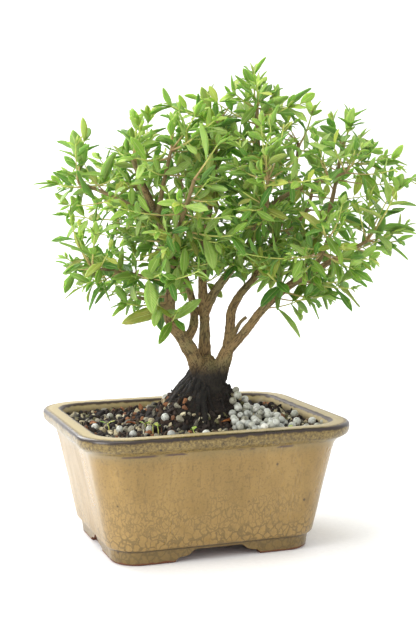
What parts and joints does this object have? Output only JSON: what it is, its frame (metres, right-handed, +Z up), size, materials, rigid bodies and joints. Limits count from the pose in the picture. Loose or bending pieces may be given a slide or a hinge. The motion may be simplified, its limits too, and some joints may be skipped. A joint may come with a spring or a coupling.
{
  "type": "serissa bonsai in a pot",
  "caption": "Small multi-stemmed leafy bonsai with a rounded crown, standing in a mound of soil in a glazed rectangular pot with corner feet.",
  "frame": {"origin": "middle of the whole object's footprint, on the plane of the pot's feet", "axes": "+Z up, X along the pot's long side, -Y towards the side that the pot's long front wall faces"},
  "size_m": [0.2148, 0.1806, 0.2679],
  "materials": {
    "pot_glaze": "gloss",
    "soil_mix": "matte",
    "bark": "matte",
    "leaf": "satin",
    "pellet": "satin",
    "mesh_plastic": "matte"
  },
  "bodies": {
    "root": {"pot": "pot_glaze", "soil": "soil_mix", "trunk_and_branches": "bark", "fertiliser_pellets": "pellet", "drain_mesh_left": "mesh_plastic", "drain_mesh_right": "mesh_plastic", "leafy_shoot_01": "leaf", "leafy_shoot_02": "leaf", "leafy_shoot_03": "leaf", "leafy_shoot_04": "leaf", "leafy_shoot_05": "leaf", "leafy_shoot_06": "leaf", "leafy_shoot_07": "leaf", "leafy_shoot_08": "leaf", "leafy_shoot_09": "leaf", "leafy_shoot_10": "leaf", "leafy_shoot_11": "leaf", "leafy_shoot_12": "leaf", "leafy_shoot_13": "leaf", "leafy_shoot_14": "leaf", "leafy_shoot_15": "leaf", "leafy_shoot_16": "leaf", "leafy_shoot_17": "leaf", "leafy_shoot_18": "leaf", "leafy_shoot_19": "leaf", "leafy_shoot_20": "leaf", "leafy_shoot_21": "leaf", "leafy_shoot_22": "leaf", "leafy_shoot_23": "leaf", "leafy_shoot_24": "leaf", "leafy_shoot_25": "leaf", "leafy_shoot_26": "leaf", "leafy_shoot_27": "leaf", "leafy_shoot_28": "leaf", "leafy_shoot_29": "leaf", "leafy_shoot_30": "leaf", "leafy_shoot_31": "leaf", "leafy_shoot_32": "leaf", "leafy_shoot_33": "leaf", "leafy_shoot_34": "leaf", "leafy_shoot_35": "leaf", "leafy_shoot_36": "leaf", "leafy_shoot_37": "leaf", "leafy_shoot_38": "leaf", "leafy_shoot_39": "leaf", "leafy_shoot_40": "leaf", "leafy_shoot_41": "leaf", "leafy_shoot_42": "leaf", "leafy_shoot_43": "leaf", "leafy_shoot_44": "leaf", "leafy_shoot_45": "leaf", "leafy_shoot_46": "leaf", "leafy_shoot_47": "leaf", "leafy_shoot_48": "leaf"}
  },
  "joints": []
}
